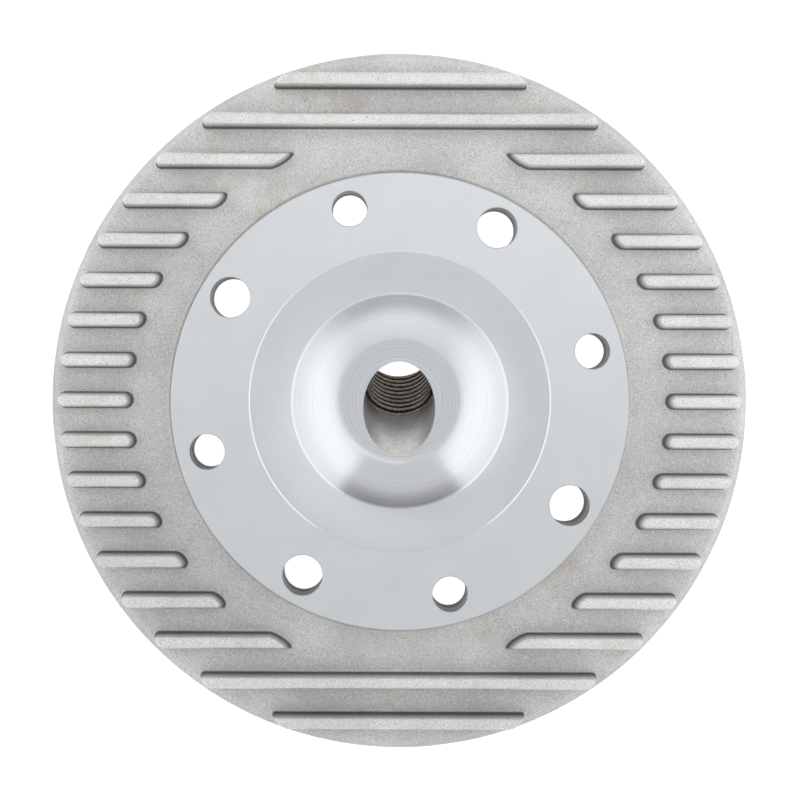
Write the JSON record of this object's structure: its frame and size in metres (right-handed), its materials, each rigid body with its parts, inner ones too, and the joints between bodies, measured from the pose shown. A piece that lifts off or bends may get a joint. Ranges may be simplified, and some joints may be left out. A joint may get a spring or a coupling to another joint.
{
  "type": "cylinder head",
  "caption": "Round air-cooled two-stroke cylinder head with parallel fins, a turned gasket face, a bowl combustion chamber and a leaning spark plug hole.",
  "frame": {"origin": "on the cylinder axis, in the plane of the fin tips", "axes": "+Z along the cylinder axis out of the combustion side, +X along the fins, +Y the way the plug hole leans"},
  "size_m": [0.1398, 0.1398, 0.044],
  "materials": {
    "machined_face": "fine turned",
    "polished_chamber": "polished",
    "cast_surface": "matte sand cast",
    "thread_steel": "dark cut thread"
  },
  "bodies": {
    "root": {"combustion_dome": "polished_chamber", "cooling_fin_mid_left": "cast_surface", "cooling_fin_mid_right": "cast_surface", "cooling_fin_n1": "cast_surface", "cooling_fin_n2": "cast_surface", "cooling_fin_n3": "cast_surface", "cooling_fin_n4_left": "cast_surface", "cooling_fin_n4_right": "cast_surface", "cooling_fin_n5_left": "cast_surface", "cooling_fin_n5_right": "cast_surface", "cooling_fin_n6": "cast_surface", "cooling_fin_n7": "cast_surface", "cooling_fin_n8": "cast_surface", "cooling_fin_p1_left": "cast_surface", "cooling_fin_p3_right": "cast_surface", "cooling_fin_p4_left": "cast_surface", "cooling_fin_p4_right": "cast_surface", "cooling_fin_p5_left": "cast_surface", "cooling_fin_p5_right": "cast_surface", "cooling_fin_p6": "cast_surface", "cooling_fin_p7": "cast_surface", "cooling_fin_p8": "cast_surface", "deck_left": "cast_surface", "deck_rib_mid_left": "cast_surface", "deck_rib_mid_right": "cast_surface", "deck_rib_n1_left": "cast_surface", "deck_rib_n1_right": "cast_surface", "deck_rib_n2_left": "cast_surface", "deck_rib_n2_right": "cast_surface", "deck_rib_n3_left": "cast_surface", "deck_rib_n3_right": "cast_surface", "deck_rib_n4_left": "cast_surface", "deck_rib_n4_right": "cast_surface", "deck_rib_n5_left": "cast_surface", "deck_rib_n5_right": "cast_surface", "deck_rib_n6_left": "cast_surface", "deck_rib_n6_right": "cast_surface", "deck_rib_n7": "cast_surface", "deck_rib_n8": "cast_surface", "deck_rib_p1_left": "cast_surface", "deck_rib_p1_right": "cast_surface", "deck_rib_p2_left": "cast_surface", "deck_rib_p2_right": "cast_surface", "deck_rib_p3_left": "cast_surface", "deck_rib_p3_right": "cast_surface", "deck_rib_p4_left": "cast_surface", "deck_rib_p4_right": "cast_surface", "deck_rib_p5_left": "cast_surface", "deck_rib_p5_right": "cast_surface", "deck_rib_p6_left": "cast_surface", "deck_rib_p6_right": "cast_surface", "deck_rib_p7": "cast_surface", "deck_rib_p8": "cast_surface", "deck_right": "cast_surface", "gasket_flange_1": "machined_face", "gasket_flange_2": "machined_face", "gasket_flange_3": "machined_face", "gasket_flange_4": "machined_face", "plug_boss": "cast_surface", "plug_thread_insert": "thread_steel"}
  },
  "joints": []
}
